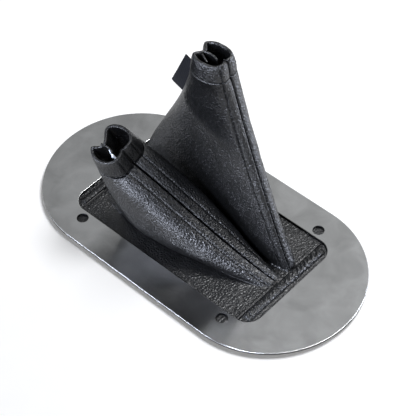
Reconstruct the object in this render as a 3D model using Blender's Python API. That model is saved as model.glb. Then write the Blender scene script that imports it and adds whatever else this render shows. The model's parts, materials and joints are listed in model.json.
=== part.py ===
"""Twin gear lever gaiter: two sewn leather boots, one short and one tall, under a steel trim ring.

The trim ring lies flat, with its long axis along X. The boots' front seams run down to the +X end
of the ring's opening. The short boot stands on the near side, -Y, and the tall one on the far side.
The origin is in the middle of the ring, on the surface that the leather flange rests on.
"""
import math

import bmesh
import bpy
import numpy as np

MM = 0.001
GAP = 0.3 * MM                      # clearance between two pieces that touch

# Trim ring, a straight-sided oval plate
RING_LENGTH = 290.0 * MM
RING_WIDTH = 150.0 * MM
RING_THICKNESS = 2.0 * MM
OPENING_LENGTH = 187.0 * MM
OPENING_WIDTH = 97.3 * MM
OPENING_CORNER = 13.0 * MM
SCREW_HOLE_RADIUS = 4.7 * MM
SCREW_ROW_OFFSET = 6.7 * MM         # hole centres, out from the opening's long edges
FRONT_SCREW_INSET = 21.1 * MM       # hole centres, in from the opening's ends
REAR_SCREW_INSET = 19.3 * MM

# Leather
LEATHER = 1.3 * MM                  # thickness of one layer
SIDE_FLANGE = 21.0 * MM             # reach of the glued flange under the ring's long sides
TURNED_EDGE = 12.0 * MM             # width of the flange edge that is turned under
FRONT_SEAM_INSET = 12.4 * MM        # end strips' sewn lines, in from the opening's ends
REAR_SEAM_INSET = 9.3 * MM

# End strips
STRIP_LENGTH = 118.0 * MM           # along Y
STRIP_REACH = 17.0 * MM             # reach under the ring's ends
ROLL_CLEARANCE = 4.0 * MM           # between the roll and the opening's end
ROLL_END_INSET = 5.5 * MM           # the roll's ends, in from the opening's long edges
FRONT_ROLL_HEIGHT = 2.9 * MM        # above the base
REAR_ROLL_HEIGHT = 1.5 * MM
WRINKLE_PITCH = 6.0 * MM
WRINKLE_DEPTH = 0.45 * MM
ROLL_PROFILE = (0.0, 0.08, 0.25, 0.5, 0.75, 0.93, 1.05)  # rows across the roll, as shares of its width

# Short boot, which leans out over the near side
SHORT_COLLAR_CENTRE = (-54.2 * MM, -35.0 * MM, 87.4 * MM)
SHORT_COLLAR_AXIS = (-0.03, -0.38, 0.95)
SHORT_COLLAR_FRONT = (1.0, 0.0, 0.1)
SHORT_COLLAR_DEPTH = 16.2 * MM      # half the mouth from front seam to rear
SHORT_COLLAR_WIDTH = 16.8 * MM      # half the mouth from side to side
SHORT_HEM = 18.3 * MM
SHORT_FLARE = 1.14
SHORT_FRONT_FOOT_Y = -2.0 * MM
SHORT_REAR_FOOT_Y = -22.0 * MM
SHORT_FRONT_SEAM_PULLS = ((35.7 * MM, 8.2 * MM, -22.4 * MM), (-32.6 * MM, -8.3 * MM, 13.7 * MM))
SHORT_REAR_SEAM_PULLS = ((9.4 * MM, 0.0, -32.8 * MM), (56.8 * MM, -3.0 * MM, -1.2 * MM))
SHORT_NEAR_BELLY = 15.3 * MM        # half width of the foot on the near side
SHORT_FAR_BELLY = 9.5 * MM
SHORT_NEAR_BULGE = 5.4 * MM
SHORT_FAR_BULGE = 9.0 * MM
SHORT_PINCH = 0.50                  # how far the rear seam is drawn into the mouth
SHORT_RIDGE = 3.2                   # bluntness of the front ridge: 2 is round, more is squarer

# Tall boot, which stands upright over the far side
TALL_COLLAR_CENTRE = (0.2 * MM, 21.1 * MM, 171.3 * MM)
TALL_COLLAR_AXIS = (0.0, 0.0, 1.0)
TALL_COLLAR_FRONT = (0.97, 0.09, 0.08)
TALL_COLLAR_DEPTH = 15.5 * MM
TALL_COLLAR_WIDTH = 12.6 * MM
TALL_HEM = 14.6 * MM
TALL_FLARE = 1.13
TALL_FRONT_FOOT_Y = 12.6 * MM
TALL_REAR_FOOT_Y = 22.0 * MM
TALL_FRONT_SEAM_PULLS = ((-3.4 * MM, 4.8 * MM, -24.8 * MM), (-13.3 * MM, 0.0, 29.2 * MM))
TALL_REAR_SEAM_PULLS = ((-8.5 * MM, 0.0, -50.8 * MM), (16.3 * MM, 0.0, 58.9 * MM))
TALL_NEAR_BELLY = 6.5 * MM
TALL_FAR_BELLY = 19.3 * MM
TALL_NEAR_BULGE = -0.5 * MM
TALL_FAR_BULGE = 0.4 * MM
TALL_PINCH = 0.45
TALL_RIDGE = 2.6

# Folds and seams
PINCH_ANGLE = 0.42                  # half width, in radians, of the tuck at the rear seam
PINCH_FADE = 0.15                   # share of the wall, from the hem down, where the tuck fades out
FRONT_TUCK = 0.25                   # the front seam's tuck, as a share of the rear one's
MOUTH_RIDGE = 2.3                   # bluntness of the ridge at both collars
RIDGE_GROWTH = 0.15                 # share of the wall over which that grows to the boot's own
STRAIGHTEN = 1.5                    # how soon, going down, a wall's sections turn square to the ring
ALLOWANCE_COLUMNS = 2               # columns beside a seam that hold its folded-back allowance

# Woven tag, caught in the tall boot's rear seam
TAG_LENGTH = 38.0 * MM
TAG_REACH = 11.5 * MM
TAG_THICKNESS = 1.2 * MM
TAG_DROP = 8.0 * MM                 # below the hem's stitch line
TAG_ROWS = 8
TAG_SECTION = ((0.0, 1.0), (0.5, 1.0), (0.9, 0.9), (1.0, 0.4))  # shares of its reach and thickness

# Fineness of the leather meshes
COLUMNS = 22                        # around half a boot
WALL_ROWS = 15
HEM_ROWS = 3
VALLEY_ROWS = 3
BASE_ROWS = (0.3, 0.7, 1.0)         # rows of the flat base, as shares of the way to the turned edge
FOLD_SHARE = 0.04                   # share of the turned edge that its fold takes
WRINKLE_STEPS = 4                   # columns in each wrinkle of an end strip
ARC_STEPS = 24                      # in each of the ring's half-circle ends
CORNER_STEPS = 6
HOLE_STEPS = 24
SHARP_ANGLE = 35.0                  # degrees; edges that bend more are shaded sharp

# Levels and lines that several pieces share
BASE_TOP = 2 * LEATHER
RING_BOTTOM = BASE_TOP + GAP
FRONT_LINE = OPENING_LENGTH / 2 - FRONT_SEAM_INSET
REAR_LINE = REAR_SEAM_INSET - OPENING_LENGTH / 2
FLANGE_EDGE = OPENING_WIDTH / 2 + SIDE_FLANGE

NEAR = -1
MIDDLE = 0                          # the plane of a boot's two seams, between its sides
FAR = 1


def unit(vector):
    return np.array(vector, float) / np.linalg.norm(vector)


def bezier(start, start_pull, end_pull, end, share):
    """A point on a cubic curve whose handles are given as pulls from its two ends."""
    first = start + np.array(start_pull)
    second = end + np.array(end_pull)
    rest = 1 - share
    return rest ** 3 * start + 3 * rest ** 2 * share * first + 3 * rest * share ** 2 * second + share ** 3 * end


class Boot:
    """One sewn boot: a collar, a front and a rear seam down to the base, and a belly on each side."""

    def __init__(self, collar, axis, front, half_depth, half_width, hem, flare, front_foot_y, rear_foot_y,
                 front_pulls, rear_pulls, bellies, bulges, pinch, ridge):
        self.collar = np.array(collar)
        self.axis = unit(axis)
        front = np.array(front) - self.axis * np.dot(front, self.axis)
        self.front = unit(front)
        self.side = np.cross(self.axis, self.front)
        self.half_depth = half_depth
        self.half_width = half_width
        self.hem = hem
        self.flare = flare
        self.front_foot = np.array((FRONT_LINE - GAP / 2, front_foot_y, BASE_TOP))
        self.rear_foot = np.array((REAR_LINE + GAP / 2, rear_foot_y, BASE_TOP))
        self.front_pulls = front_pulls
        self.rear_pulls = rear_pulls
        self.bellies = bellies
        self.bulges = bulges
        self.pinch = pinch
        self.ridge = ridge

    def section(self, angle, pinch, ridge):
        """A section's reach along and across: its front half blunt, its rear round and drawn in."""
        along, across = math.cos(angle), math.sin(angle)
        if along > 0:
            along, across = along ** (2 / ridge), across ** (2 / ridge)
        rear_tuck = math.exp(-((math.pi - angle) / PINCH_ANGLE) ** 2)
        front_tuck = FRONT_TUCK * math.exp(-(angle / PINCH_ANGLE) ** 2)
        return along * (1 - pinch * (rear_tuck + front_tuck)), across

    def hem_point(self, side, angle, height):
        """A point on the hem, at a height from 0, its stitch line, to 1, the mouth's rim."""
        along, across = self.section(angle, self.pinch, MOUTH_RIDGE)
        spread = 1 + (self.flare - 1) * (1 - height)
        centre = self.collar - self.axis * self.hem * (1 - height)
        return (centre + self.front * self.half_depth * spread * along
                + self.side * side * (self.half_width * spread * across + GAP / 2))

    def seam_point(self, front, share):
        """A point on the front or the rear seam, from 0 at the hem's stitch line to 1 at the foot."""
        sign = 1 if front else -1
        top = self.collar - self.axis * self.hem + self.front * sign * self.half_depth * self.flare
        if front:
            return bezier(top, self.front_pulls[0], self.front_pulls[1], self.front_foot, share)
        return bezier(top, self.rear_pulls[0], self.rear_pulls[1], self.rear_foot, share)

    def across(self, share):
        """The direction from side to side of a section of the wall."""
        tilt = (1 - share) ** STRAIGHTEN
        return unit(tilt * self.side + (1 - tilt) * np.array((0.0, 1.0, 0.0)))

    def wall_point(self, side, angle, share):
        """A point on a wall: angle 0 is the front seam and pi the rear one, share 0 the hem, 1 the foot."""
        front = self.seam_point(True, share)
        rear = self.seam_point(False, share)
        belly = self.bellies[0] if side == NEAR else self.bellies[1]
        bulge = self.bulges[0] if side == NEAR else self.bulges[1]
        half_width = (self.half_width * self.flare * (1 - share) + belly * share
                      + bulge * math.sin(math.pi * share))
        fade = max(0.0, 1 - share / PINCH_FADE) ** 2
        ridge = MOUTH_RIDGE + (self.ridge - MOUTH_RIDGE) * min(1.0, share / RIDGE_GROWTH)
        along, across = self.section(angle, self.pinch * fade, ridge)
        return ((front + rear) / 2 + (front - rear) / 2 * along
                + self.across(share) * side * (half_width * across + GAP / 2))

    def panel_rows(self, side, angles):
        """The rows of one side of the boot, from the rim down to the foot."""
        rim_down = [[self.hem_point(side, angle, 1 - row / HEM_ROWS) for angle in angles]
                    for row in range(HEM_ROWS)]
        shares = [row / WALL_ROWS for row in range(WALL_ROWS + 1)]
        wall = [[self.wall_point(side, angle, share) for angle in angles] for share in shares]
        return rim_down + wall


def short_boot():
    return Boot(SHORT_COLLAR_CENTRE, SHORT_COLLAR_AXIS, SHORT_COLLAR_FRONT, SHORT_COLLAR_DEPTH,
                SHORT_COLLAR_WIDTH, SHORT_HEM, SHORT_FLARE, SHORT_FRONT_FOOT_Y, SHORT_REAR_FOOT_Y,
                SHORT_FRONT_SEAM_PULLS, SHORT_REAR_SEAM_PULLS, (SHORT_NEAR_BELLY, SHORT_FAR_BELLY),
                (SHORT_NEAR_BULGE, SHORT_FAR_BULGE), SHORT_PINCH, SHORT_RIDGE)


def tall_boot():
    return Boot(TALL_COLLAR_CENTRE, TALL_COLLAR_AXIS, TALL_COLLAR_FRONT, TALL_COLLAR_DEPTH,
                TALL_COLLAR_WIDTH, TALL_HEM, TALL_FLARE, TALL_FRONT_FOOT_Y, TALL_REAR_FOOT_Y,
                TALL_FRONT_SEAM_PULLS, TALL_REAR_SEAM_PULLS, (TALL_NEAR_BELLY, TALL_FAR_BELLY),
                (TALL_NEAR_BULGE, TALL_FAR_BULGE), TALL_PINCH, TALL_RIDGE)


def material(name, colour, roughness, metallic=0.0):
    surface = bpy.data.materials.new(name)
    surface.use_nodes = True
    shader = surface.node_tree.nodes["Principled BSDF"]
    shader.inputs["Base Color"].default_value = (*colour, 1.0)
    shader.inputs["Roughness"].default_value = roughness
    shader.inputs["Metallic"].default_value = metallic
    return surface


def add_object(name, mesh_builder, surface):
    """Turn a finished bmesh into a named object, shaded smooth up to its sharp edges."""
    bmesh.ops.recalc_face_normals(mesh_builder, faces=mesh_builder.faces)
    mesh = bpy.data.meshes.new(name)
    mesh_builder.to_mesh(mesh)
    mesh_builder.free()
    mesh.shade_smooth()
    mesh.set_sharp_from_angle(angle=math.radians(SHARP_ANGLE))
    mesh.materials.append(surface)
    item = bpy.data.objects.new(name, mesh)
    bpy.context.scene.collection.objects.link(item)
    return item


def shell(name, outer, inner, surface):
    """A closed sheet of leather: a grid laid on the outer points, extruded to the inner ones."""
    rows, columns = outer.shape[:2]
    sheet = bmesh.new()
    bmesh.ops.create_grid(sheet, x_segments=columns - 1, y_segments=rows - 1, size=1.0)
    place = sheet.verts.layers.int.new("place")
    ordered = sorted(sheet.verts, key=lambda v: (round(v.co.y, 5), round(v.co.x, 5)))
    for index, vert in enumerate(ordered):
        vert[place] = index
    front_side = set(sheet.verts)
    bmesh.ops.extrude_face_region(sheet, geom=sheet.faces[:])
    for vert in sheet.verts:
        grid = outer if vert in front_side else inner
        vert.co = grid[vert[place] // columns][vert[place] % columns]
    return add_object(name, sheet, surface)


def grid_normals(points):
    """Unit normals of a grid of points; on a wall's grid they point out of the near side."""
    down = np.gradient(points, axis=0)
    across = np.gradient(points, axis=1)
    normals = np.cross(across, down)
    return normals / np.linalg.norm(normals, axis=2, keepdims=True)


def level_seam_normals(normals, side_directions):
    """Turn the normals at the two seam columns square to the seam's side direction."""
    for column in (0, -1):
        for row, direction in enumerate(side_directions):
            normal = normals[row, column]
            normals[row, column] = unit(normal - direction * np.dot(normal, direction))
    return normals


def wall_thickness(rows, columns, hem_rows):
    """Leather thickness over a wall's grid: one layer, doubled by the hem and by the seam allowances."""
    thickness = np.full((rows, columns), LEATHER)
    thickness[:hem_rows + 1] += LEATHER
    thickness[:, :ALLOWANCE_COLUMNS] += LEATHER
    thickness[:, -ALLOWANCE_COLUMNS:] += LEATHER
    thickness[-1] = LEATHER
    return thickness


def half_boot_grids(boot, side, angles):
    """Outer and inner points of one side of a boot; the inner ones stay on their side of the seams' plane."""
    outer = np.array(boot.panel_rows(side, angles))
    directions = [boot.side] * HEM_ROWS + [boot.across(row / WALL_ROWS) for row in range(WALL_ROWS + 1)]
    normals = grid_normals(outer) * -side
    normals = level_seam_normals(normals, directions)
    thickness = wall_thickness(outer.shape[0], outer.shape[1], HEM_ROWS)
    inner = outer - normals * thickness[..., None]
    outward = side * np.array(directions)[:, None]
    room = ((inner - np.array(boot.panel_rows(MIDDLE, angles))) * outward).sum(axis=2) - GAP / 2
    inner -= outward * np.minimum(0.0, room)[..., None]
    inner[-1] = outer[-1] - np.array((0.0, 0.0, LEATHER))
    return outer, inner


def base_edge(centre_y, side, angle):
    """Where a ray from the middle of a boot's foot meets the edge of its part of the base."""
    middle_x = (FRONT_LINE + REAR_LINE) / 2
    half_length = (FRONT_LINE - REAR_LINE - GAP) / 2
    depth = FLANGE_EDGE - side * centre_y
    run, rise = math.cos(angle), math.sin(angle)
    reach = min(half_length / max(abs(run), 1e-9), depth / max(rise, 1e-9))
    return np.array((middle_x + run * reach, centre_y + side * rise * reach, BASE_TOP))


def base_angles(boot, side, angles):
    """The foot's angles, with the two nearest the base's corners moved exactly onto them."""
    centre_y = (boot.front_foot[1] + boot.rear_foot[1]) / 2
    half_length = (FRONT_LINE - REAR_LINE - GAP) / 2
    corner = math.atan2(FLANGE_EDGE - side * centre_y, half_length)
    snapped = list(angles)
    for target in (corner, math.pi - corner):
        nearest = min(range(len(angles)), key=lambda i: abs(angles[i] - target))
        snapped[nearest] = target
    return centre_y, snapped


def base_grids(boot, side, foot, angles):
    """The flat base from a boot's foot out to the flange's edge, with that edge turned under."""
    centre_y, snapped = base_angles(boot, side, angles)
    edge = np.array([base_edge(centre_y, side, angle) for angle in snapped])
    edge[0] = foot[0] + np.array((0.0, side * 2 * GAP, 0.0))
    edge[-1] = foot[-1] + np.array((0.0, side * 2 * GAP, 0.0))
    spans = np.linalg.norm(edge - foot, axis=1)
    turned = 1 - np.minimum(0.5, TURNED_EDGE / np.maximum(spans, GAP))
    shares = [turned * share for share in BASE_ROWS]
    shares += [turned + (1 - turned) * FOLD_SHARE, np.ones(len(angles))]
    outer = np.array([foot + (edge - foot) * share[:, None] for share in shares])
    thickness = np.array([LEATHER] * len(BASE_ROWS) + [2 * LEATHER] * 2)
    inner = outer - np.array((0.0, 0.0, 1.0)) * thickness[:, None, None]
    return outer, inner


def column_angles():
    return [math.pi * column / COLUMNS for column in range(COLUMNS + 1)]


def side_panel(name, boot, side, surface):
    """A panel that is one side of a boot and, from its foot on, the base and the glued flange."""
    angles = column_angles()
    wall_outer, wall_inner = half_boot_grids(boot, side, angles)
    base_outer, base_inner = base_grids(boot, side, wall_outer[-1], angles)
    outer = np.concatenate((wall_outer, base_outer))
    inner = np.concatenate((wall_inner, base_inner))
    return shell(name, outer, inner, surface)


def centre_panel(name, short, tall, surface):
    """The panel that joins the short boot's far side to the tall boot's near side."""
    angles = column_angles()
    short_outer, short_inner = half_boot_grids(short, FAR, angles)
    tall_outer, tall_inner = half_boot_grids(tall, NEAR, angles)
    shares = [row / (VALLEY_ROWS + 1) for row in range(1, VALLEY_ROWS + 1)]
    valley_outer = np.array([short_outer[-1] * (1 - share) + tall_outer[-1] * share for share in shares])
    valley_inner = valley_outer - np.array((0.0, 0.0, LEATHER))
    outer = np.concatenate((short_outer, valley_outer, tall_outer[::-1]))
    inner = np.concatenate((short_inner, valley_inner, tall_inner[::-1]))
    return shell(name, outer, inner, surface)


def end_strip(name, front, roll_height, surface):
    """A strip sewn across the panels' ends: a puffed roll inside the opening, flat under the ring."""
    sign = 1 if front else -1
    seam_line = FRONT_LINE if front else REAR_LINE
    opening_end = sign * OPENING_LENGTH / 2
    roll_width = abs(opening_end - seam_line) - ROLL_CLEARANCE
    reach = abs(opening_end - seam_line) + STRIP_REACH
    roll_half = OPENING_WIDTH / 2 - ROLL_END_INSET
    columns = round(WRINKLE_STEPS * STRIP_LENGTH / WRINKLE_PITCH)
    distances = [GAP / 2 + share * roll_width for share in ROLL_PROFILE] + [reach]
    top = np.zeros((len(distances), columns + 1, 3))
    for column in range(columns + 1):
        y = STRIP_LENGTH * (column / columns - 0.5)
        end_fade = min(1.0, max(0.0, (roll_half - abs(y)) / roll_width))
        swell = math.sqrt(end_fade * (2 - end_fade))
        wrinkle = 1 - WRINKLE_DEPTH / roll_height * math.sin(math.pi * y / WRINKLE_PITCH) ** 2
        for row, distance in enumerate(distances):
            share = min(1.0, (distance - GAP / 2) / roll_width)
            crown = math.sqrt(max(0.0, 1 - (2 * share - 1) ** 2))
            height = BASE_TOP + roll_height * crown * swell * wrinkle
            top[row, column] = (seam_line + sign * distance, y, height)
    bottom = top.copy()
    bottom[..., 2] = 0.0
    return shell(name, top, bottom, surface)


def arc(centre_x, centre_y, radius, start, sweep, steps):
    """Points along an arc, from one end to the other."""
    turns = [math.radians(start + sweep * step / steps) for step in range(steps + 1)]
    return [(centre_x + radius * math.cos(turn), centre_y + radius * math.sin(turn)) for turn in turns]


def oval_outline():
    radius = RING_WIDTH / 2
    straight = RING_LENGTH / 2 - radius
    return arc(straight, 0, radius, -90, 180, ARC_STEPS) + arc(-straight, 0, radius, 90, 180, ARC_STEPS)


def opening_outline():
    across = OPENING_LENGTH / 2 - OPENING_CORNER
    along = OPENING_WIDTH / 2 - OPENING_CORNER
    corners = ((across, -along, -90), (across, along, 0), (-across, along, 90), (-across, -along, 180))
    points = []
    for centre_x, centre_y, start in corners:
        points += arc(centre_x, centre_y, OPENING_CORNER, start, 90, CORNER_STEPS)
    return points


def screw_holes():
    """The centres of the four screw holes, which sit just outside the opening's long edges."""
    row = OPENING_WIDTH / 2 + SCREW_ROW_OFFSET
    end = OPENING_LENGTH / 2
    return [(x, y) for x in (end - FRONT_SCREW_INSET, REAR_SCREW_INSET - end) for y in (-row, row)]


def trim_ring(surface):
    """The plate: its outlines filled between, then extruded to its thickness."""
    holes = [arc(x, y, SCREW_HOLE_RADIUS, 0, 360 * (HOLE_STEPS - 1) / HOLE_STEPS, HOLE_STEPS - 1)
             for x, y in screw_holes()]
    plate = bmesh.new()
    for outline in [oval_outline(), opening_outline()] + holes:
        loop = [plate.verts.new((x, y, RING_BOTTOM)) for x, y in outline]
        for here, following in zip(loop, loop[1:] + loop[:1]):
            plate.edges.new((here, following))
    bmesh.ops.triangle_fill(plate, edges=plate.edges[:], use_beauty=True, use_dissolve=False)
    raised = bmesh.ops.extrude_face_region(plate, geom=plate.faces[:])
    top = [item for item in raised["geom"] if isinstance(item, bmesh.types.BMVert)]
    bmesh.ops.translate(plate, verts=top, vec=(0, 0, RING_THICKNESS))
    return add_object("trim_ring", plate, surface)


def woven_tag(boot, surface):
    """A label folded double, its cut edge along the tall boot's rear seam and its straight fold outward."""
    wall_run = np.linalg.norm(boot.seam_point(False, 0.0) - boot.seam_point(False, 1.0))
    shares = [(TAG_DROP + TAG_LENGTH * row / TAG_ROWS) / wall_run for row in range(TAG_ROWS + 1)]
    sideways = boot.across(shares[TAG_ROWS // 2])
    seam = np.array([boot.wall_point(FAR, math.pi, share) for share in shares]) - sideways * GAP / 2
    outward = unit(np.cross(sideways, seam[-1] - seam[0]))
    fold_line = max(seam @ outward) + TAG_REACH
    half = TAG_THICKNESS / 2
    faces = []
    for sign in (NEAR, FAR):
        faces.append(np.array([[point + outward * (2 * GAP + (fold_line - point @ outward - 2 * GAP) * share)
                                + sideways * sign * half * width for share, width in TAG_SECTION]
                               for point in seam]))
    return shell("woven_tag", faces[0], faces[1], surface)


def build():
    for item in list(bpy.data.objects):
        bpy.data.objects.remove(item)
    steel = material("brushed stainless steel", (0.52, 0.51, 0.49), 0.32, 1.0)
    leather = material("black grained leather", (0.018, 0.019, 0.022), 0.45)
    woven = material("black woven label", (0.012, 0.013, 0.016), 0.8)
    short = short_boot()
    tall = tall_boot()
    trim_ring(steel)
    side_panel("near_panel", short, NEAR, leather)
    centre_panel("centre_panel", short, tall, leather)
    side_panel("far_panel", tall, FAR, leather)
    end_strip("front_end_strip", True, FRONT_ROLL_HEIGHT, leather)
    end_strip("rear_end_strip", False, REAR_ROLL_HEIGHT, leather)
    woven_tag(tall, woven)


build()
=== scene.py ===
"""Looks of the twin gear lever gaiter: two sewn leather boots, their end strips, a label and a steel plate.

The sections follow the sewing: the panels, the end strips, the thread, the label, then the plate that
is laid over the leather, and last the studio that it is photographed in.
"""
import json
import math

import bmesh
import bpy
import numpy as np
from mathutils import Matrix, Vector, noise

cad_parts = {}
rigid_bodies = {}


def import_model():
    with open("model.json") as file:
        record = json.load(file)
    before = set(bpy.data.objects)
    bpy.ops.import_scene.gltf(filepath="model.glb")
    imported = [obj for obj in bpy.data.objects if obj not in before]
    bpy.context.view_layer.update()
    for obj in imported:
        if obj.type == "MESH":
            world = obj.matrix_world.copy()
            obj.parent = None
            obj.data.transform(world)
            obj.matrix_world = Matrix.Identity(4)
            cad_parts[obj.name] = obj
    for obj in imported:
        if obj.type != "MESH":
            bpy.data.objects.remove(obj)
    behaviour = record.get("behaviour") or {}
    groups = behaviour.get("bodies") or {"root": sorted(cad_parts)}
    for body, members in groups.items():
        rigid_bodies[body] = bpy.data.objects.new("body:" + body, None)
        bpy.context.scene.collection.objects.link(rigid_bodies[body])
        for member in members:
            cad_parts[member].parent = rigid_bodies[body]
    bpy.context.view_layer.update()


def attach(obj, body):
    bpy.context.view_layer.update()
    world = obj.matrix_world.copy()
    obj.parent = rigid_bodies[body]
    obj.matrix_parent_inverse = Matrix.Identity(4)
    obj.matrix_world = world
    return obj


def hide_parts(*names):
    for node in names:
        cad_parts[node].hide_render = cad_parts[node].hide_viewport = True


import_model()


# ---------------------------------------------------------------------------------------------
# Near panel: one piece of black upholstery hide, the short boot's near wall with its half of the
# turned hem, and the base that runs out under the plate. It is cut flat, sewn to the centre panel
# inside out along both seams, turned, and top-stitched beside its front seam.
# ---------------------------------------------------------------------------------------------
MM = 0.001
LEATHER = 1.3 * MM
BASE_TOP = 2 * LEATHER
FRONT_LINE = 81.1 * MM              # where the panels end at the strips
REAR_LINE = -84.2 * MM
FLANGE_EDGE = 69.65 * MM
OPENING_HALF_WIDTH = 48.65 * MM
TURNED_EDGE = 12.0 * MM
NEAR = -1
FAR = 1

SEAM_ROLL = 1.2 * MM                # radius at which a panel turns down into its front seam
SEAM_PULL = 2.2 * MM                # the stitches pull the front seam further in
REAR_ROLL = 0.9 * MM                # the rear seams are pressed flat and have no top-stitches
SEAM_GROOVE = 0.6 * MM              # half the width of the groove that the pulled seam makes
SEAM_FADE = 9.0 * MM                # over this height above the base the pull fades out
ALLOWANCE_LIFT = 0.35 * MM          # the folded-back allowance shows as a low ridge beside the seam
ALLOWANCE_MIDDLE = 4.8 * MM
ALLOWANCE_WIDTH = 2.9 * MM
STITCH_PITCH = 3.1 * MM
STITCH_OFFSET = 8.5 * MM
STITCH_DIP = 0.9 * MM
STITCH_GROOVE = 0.55 * MM
HEM_DIP = 2.2 * MM
HEM_GROOVE = 0.5 * MM
HEM_LIFT = 0.2 * MM                 # the turned hem stands proud of the wall below it
RIM_WALL = 3.0 * MM                 # two layers of hide and the air in the fold
RIM_DRAW = 0.9 * MM                 # the fold draws the rim in by this much
FILLET = 3.0 * MM                   # where a wall bends out into the base
HEM_RUN = np.array((2.2, 1.4, 0.9, 0.55, 0.28, 0)) * MM
HEM_ROWS = 13
FOLD_ROWS = 8
FILLET_ROWS = 5
SEAM_RUN = np.array((0, 0.2, 0.5, 0.9, 1.3, 1.7, 2.3, 3.2, 4.4, 5.8, 6.9, 7.6, 8.1, 8.5, 8.9, 9.4, 10.2,
                     11.5)) * MM
TUCK_WIDTH = 0.42                   # of the dent that each collar has at its seams, in radians
COLLAR_RIDGE = 2.3                  # power of the collar's section: 2 is an ellipse
BLEND_SHARE = 0.15                  # of the wall, over which the collar's section turns into the wall's
MIDDLE_COLUMNS = 84
STITCH_COLUMN = 13
DENSE_ANGLES = math.pi * np.linspace(0, 1, 401) ** 1.5


def unit(vector):
    return np.array(vector, float) / np.linalg.norm(vector)


def bell(distance, width):
    return np.exp(-(distance / width) ** 2)


def curve(start, start_pull, end_pull, end, shares):
    """Points on a cubic curve whose handles are pulls from its two ends."""
    share = shares[:, None]
    rest = 1 - share
    return (rest ** 3 * start + 3 * rest ** 2 * share * (start + start_pull)
            + 3 * rest * share ** 2 * (end + end_pull) + share ** 3 * end)


class Boot:
    """The sewn boot as a smooth surface: a collar, two seams down to the base and a belly on each side."""

    def __init__(self, collar, axis, front, half_depth, half_width, hem, flare, front_foot_y, rear_foot_y,
                 front_pulls, rear_pulls, bellies, bulges, pinch, pinch_shift, ridge):
        self.collar = np.array(collar) * MM
        self.axis = unit(axis)
        self.front = unit(np.array(front) - self.axis * np.dot(front, self.axis))
        self.side = np.cross(self.axis, self.front)
        self.half_depth = half_depth * MM
        self.half_width = half_width * MM
        self.hem = hem * MM
        self.flare = flare
        self.front_foot = np.array((FRONT_LINE, front_foot_y * MM, BASE_TOP))
        self.rear_foot = np.array((REAR_LINE, rear_foot_y * MM, BASE_TOP))
        self.front_pulls = np.array(front_pulls) * MM
        self.rear_pulls = np.array(rear_pulls) * MM
        self.bellies = {NEAR: bellies[0] * MM, FAR: bellies[1] * MM}
        self.bulges = {NEAR: bulges[0] * MM, FAR: bulges[1] * MM}
        self.pinch = pinch
        self.pinch_shift = pinch_shift * MM
        self.ridge = ridge

    def section(self, angles, pinch, ridge):
        tuck = bell(math.pi - angles, TUCK_WIDTH) + 0.25 * bell(angles, TUCK_WIDTH)
        along = np.cos(angles)
        power = np.where(along > 0, 2 / ridge, 1.0)
        reach = np.sign(along) * np.abs(along) ** power * (1 - pinch * tuck)
        return reach, np.abs(np.sin(angles)) ** power

    def hem_rows(self, side, angles, heights):
        """Rows of the hem: height 1 is the rim, 0 its stitch line."""
        height = heights[:, None]
        along, across = self.section(angles[None], self.pinch, COLLAR_RIDGE + 0 * height)
        spread = 1 + (self.flare - 1) * (1 - height)
        tuck = bell(math.pi - angles, TUCK_WIDTH)[None]
        centre = self.collar - self.axis * (self.hem * (1 - height))[..., None]
        centre = centre + self.side * (self.pinch_shift * height * tuck)[..., None]
        return (centre + self.front * (self.half_depth * spread * along)[..., None]
                + self.side * side * (self.half_width * spread * across)[..., None])

    def across(self, shares):
        tilt = ((1 - shares) ** 1.5)[:, None]
        turned = tilt * self.side + (1 - tilt) * np.array((0.0, 1.0, 0.0))
        return turned / np.linalg.norm(turned, axis=1, keepdims=True)

    def seam(self, pulls, foot, sign, shares):
        top = self.collar - self.axis * self.hem + self.front * sign * self.half_depth * self.flare
        return curve(top, pulls[0], pulls[1], foot, shares)

    def wall_rows(self, side, angles, shares):
        """Rows of the wall: share 0 is the hem's stitch line, 1 the foot."""
        share = shares[:, None]
        front = self.seam(self.front_pulls, self.front_foot, 1, shares)[:, None]
        rear = self.seam(self.rear_pulls, self.rear_foot, -1, shares)[:, None]
        half = (self.half_width * self.flare * (1 - share) + self.bellies[side] * share
                + self.bulges[side] * np.sin(math.pi * share))
        fade = np.clip(1 - share / BLEND_SHARE, 0, None) ** 2
        ridge = COLLAR_RIDGE + (self.ridge - COLLAR_RIDGE) * np.clip(share / BLEND_SHARE, 0, 1)
        along, across = self.section(angles[None], self.pinch * fade, ridge)
        return ((front + rear) / 2 + (front - rear) / 2 * along[..., None]
                + self.across(shares)[:, None] * side * (half * across)[..., None])


def even_columns(rows):
    """Resample each row by its own length: fixed steps beside both seams, even steps between them."""
    steps = np.linalg.norm(np.diff(rows, axis=1), axis=2)
    runs = np.concatenate((np.zeros((len(rows), 1)), np.cumsum(steps, axis=1)), axis=1)
    points, angles, places = [], [], []
    for row, run in zip(rows, runs):
        middle = np.linspace(SEAM_RUN[-1], run[-1] - SEAM_RUN[-1], MIDDLE_COLUMNS + 2)[1:-1]
        place = np.concatenate((SEAM_RUN, middle, run[-1] - SEAM_RUN[::-1]))
        points.append(np.stack([np.interp(place, run, row[:, axis]) for axis in range(3)], axis=1))
        angles.append(np.interp(place, run, DENSE_ANGLES))
        places.append(place)
    return np.array(points), np.array(angles), np.array(places), runs[:, -1:]


def noise_at(points, size, seed):
    """Smooth noise from about -1 to 1, with hills of that size; size may differ along x, y and z."""
    scale = 1 / (np.ones(3) * size)
    flat = (points.reshape(-1, 3) * scale + seed * 7.31).tolist()
    return np.array([noise.noise(place) for place in flat]).reshape(points.shape[:-1]) * 2


def seam_roll(edge, radius):
    """How far a panel has sunk at a distance from its seam, turning down on a quarter round."""
    inside = np.clip(radius - edge, 0, radius)
    return radius - np.sqrt(radius ** 2 - inside ** 2)


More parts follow.
